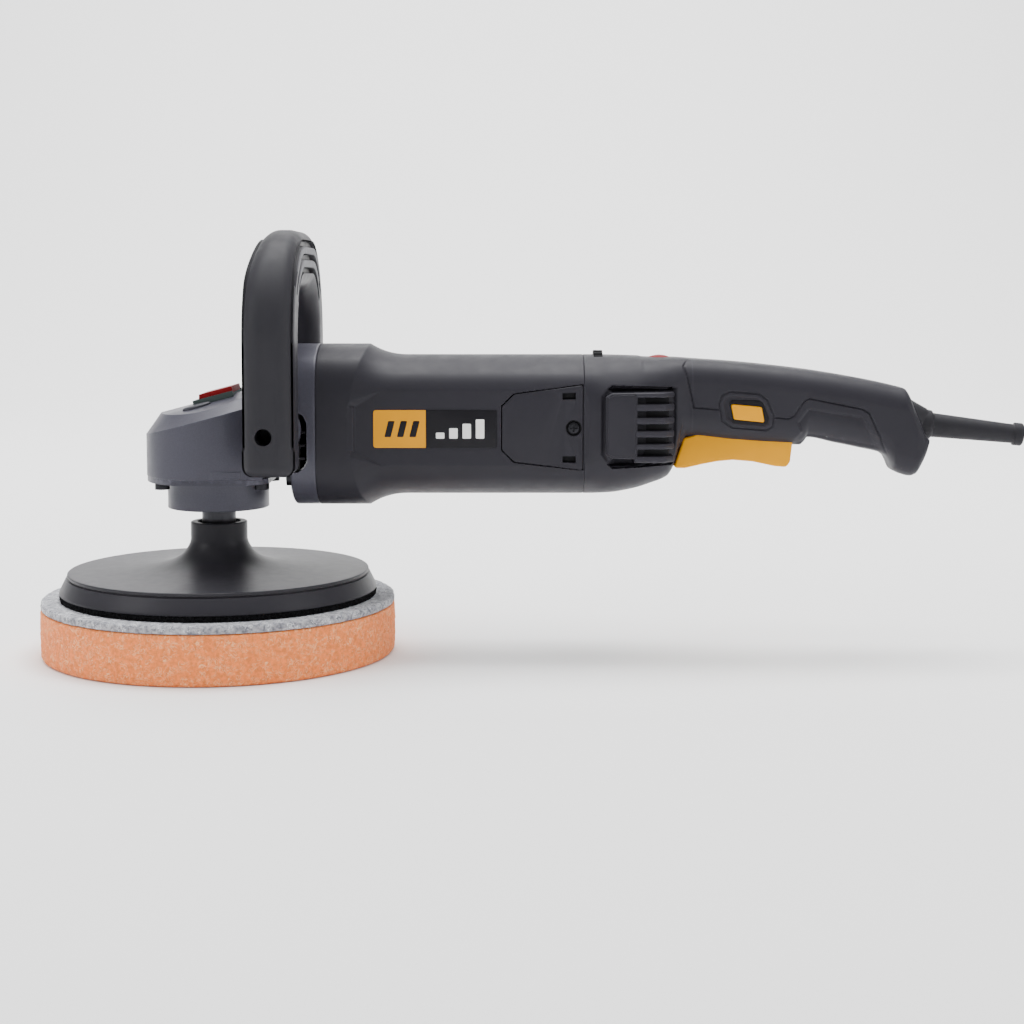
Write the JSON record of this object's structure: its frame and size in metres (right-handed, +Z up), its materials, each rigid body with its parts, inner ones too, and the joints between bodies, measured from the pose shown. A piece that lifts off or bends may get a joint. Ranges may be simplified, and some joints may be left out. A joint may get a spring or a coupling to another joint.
{
  "type": "rotary polisher",
  "caption": "Corded rotary polisher: foam pad on a flared backing plate, angled gear case, D-shaped front handle, barrel motor housing and a trigger grip.",
  "frame": {"origin": "centre of the foam pad's working face", "axes": "+Z up along the spindle, +X along the motor towards the cord, -Y the side with the plates"},
  "size_m": [0.5019, 0.18, 0.215],
  "materials": {
    "aluminium": "cast",
    "black_plastic": "satin",
    "black_rubber": "matt",
    "blue_plastic": "satin",
    "board_green": "potted",
    "brass": "satin",
    "carbon": "matt",
    "charcoal_plastic": "satin",
    "copper_bars": "turned",
    "copper_wire": "enamelled",
    "dark_label": "printed",
    "gear_steel": "hardened",
    "green_plastic": "satin",
    "grey_paint": "satin paint",
    "handle_rubber": "satin",
    "hook_black": "rough",
    "loop_felt": "loop-faced felt",
    "orange_foam": "soft open foam",
    "plate_plastic": "satin",
    "red_plastic": "semi-gloss",
    "screw_black": "blackened",
    "steel": "ground",
    "white_plastic": "satin",
    "yellow_label": "printed",
    "yellow_plastic": "semi-gloss"
  },
  "bodies": {
    "polisher_body": {"spindle_seal": "black_rubber", "lower_bearing": "steel", "upper_bush": "brass", "bearing_flange": "grey_paint", "flange_screws": "screw_black", "gear_case": "grey_paint", "gear_case_screws": "screw_black", "bearing_plate": "aluminium", "front_bearing": "steel", "lock_base": "green_plastic", "lock_spring": "steel", "handle_front_shell": "charcoal_plastic", "handle_rear_shell": "charcoal_plastic", "handle_band": "handle_rubber", "handle_bolts": "steel", "motor_housing": "charcoal_plastic", "fan_baffle": "black_plastic", "stator_core": "gear_steel", "field_coils": "copper_wire", "rear_bearing": "steel", "brush_holders": "brass", "carbon_brushes": "carbon", "brush_springs": "steel", "brush_covers": "charcoal_plastic", "brush_cover_screws": "screw_black", "side_plate_yellow": "yellow_label", "side_plate_dark": "dark_label", "rear_housing": "charcoal_plastic", "rear_housing_screws": "steel", "inlet_grilles": "black_plastic", "dial_potentiometer": "blue_plastic", "control_module": "board_green", "indicator_lens": "red_plastic", "grip_shell_left": "charcoal_plastic", "grip_shell_right": "charcoal_plastic", "grip_screws": "steel", "trigger_pin": "steel", "power_switch": "black_plastic", "capacitor": "white_plastic", "cord_sleeve": "black_rubber"},
    "spindle_set": {"pad_foam": "orange_foam", "pad_felt": "loop_felt", "hook_layer": "hook_black", "backing_plate": "plate_plastic", "plate_insert": "steel", "spindle": "steel", "spindle_key": "steel", "crown_gear": "gear_steel", "gear_circlip": "steel"},
    "armature": {"pinion": "gear_steel", "armature_shaft": "steel", "armature_core": "gear_steel", "armature_windings": "copper_wire", "commutator": "copper_bars", "cooling_fan": "white_plastic"},
    "lock_button": {"lock_button": "red_plastic"},
    "trigger": {"trigger": "yellow_plastic"},
    "switch_plunger": {"switch_plunger": "red_plastic"},
    "lock_on_button": {"lock_on_button": "yellow_plastic"},
    "speed_dial": {"speed_dial": "black_plastic"}
  },
  "joints": [
    {"name": "spindle_spin", "type": "hinge", "parent": "polisher_body", "child": "spindle_set", "pos_m": [0, 0, 0.05], "axis": [0, 0, 1], "continuous": true},
    {"name": "armature_spin", "type": "hinge", "parent": "polisher_body", "child": "armature", "pos_m": [0.1, 0, 0.117], "axis": [1, 0, 0], "continuous": true},
    {"name": "spindle_lock_press", "type": "slide", "parent": "polisher_body", "child": "lock_button", "axis": [0, 0, -1], "range_m": [0, 0.003], "stiffness_N_per_m": 600, "springref_m": -0.002, "deforming": ["lock_spring"]},
    {"name": "trigger_pull", "type": "hinge", "parent": "polisher_body", "child": "trigger", "pos_m": [0.246, 0, 0.113], "axis": [0, -1, 0], "range_deg": [0, 6], "stiffness_Nm_per_rad": 0.8, "springref_deg": -6.88},
    {"name": "switch_plunger_slide", "type": "slide", "parent": "polisher_body", "child": "switch_plunger", "axis": [0, 0, 1], "range_m": [0, 0.0031]},
    {"name": "lock_on_press", "type": "slide", "parent": "polisher_body", "child": "lock_on_button", "axis": [0, 1, 0], "range_m": [0, 0.003], "stiffness_N_per_m": 400, "springref_m": -0.002},
    {"name": "speed_dial_turn", "type": "hinge", "parent": "polisher_body", "child": "speed_dial", "pos_m": [0.194, 0, 0.1406], "axis": [1, 0, 0], "range_deg": [-135, 135]}
  ],
  "couplings": [
    {"joint": "armature_spin", "follows": "spindle_spin", "ratio": 5},
    {"joint": "switch_plunger_slide", "follows": "trigger_pull", "m_per_rad": 0.029}
  ]
}
